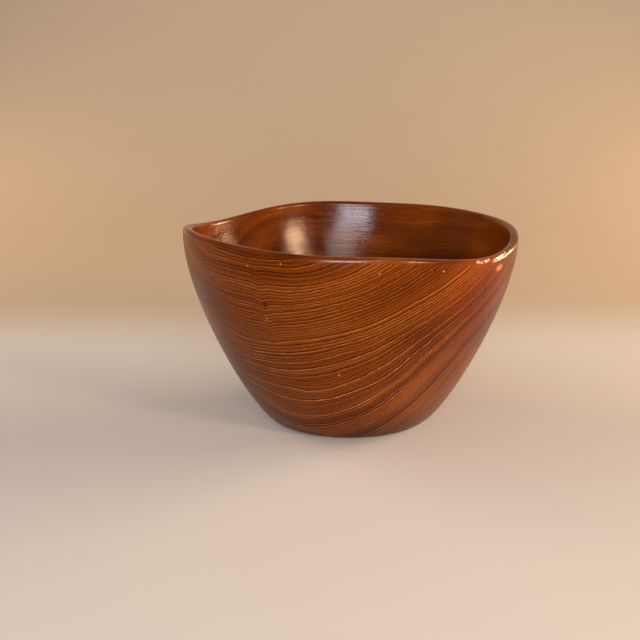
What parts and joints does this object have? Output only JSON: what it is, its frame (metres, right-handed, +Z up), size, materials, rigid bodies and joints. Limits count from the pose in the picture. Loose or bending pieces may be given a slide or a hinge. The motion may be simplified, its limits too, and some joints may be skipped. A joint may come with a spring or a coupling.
{
  "type": "turned wooden bowl",
  "caption": "Deep round bowl turned from solid teak, with a rounded rim that waves gently and a flat foot ring to stand on.",
  "frame": {"origin": "middle of the foot, on the surface that the bowl stands on, at the bottom centre of the whole box", "axes": "+Z up along the bowl's turning axis and its shortest extent, +X to the picture's right, -Y to the picture's front"},
  "size_m": [0.2911, 0.2911, 0.1754],
  "materials": {
    "teak": "oiled and worn to a satin gloss"
  },
  "bodies": {
    "root": {"bowl": "teak"}
  },
  "joints": []
}
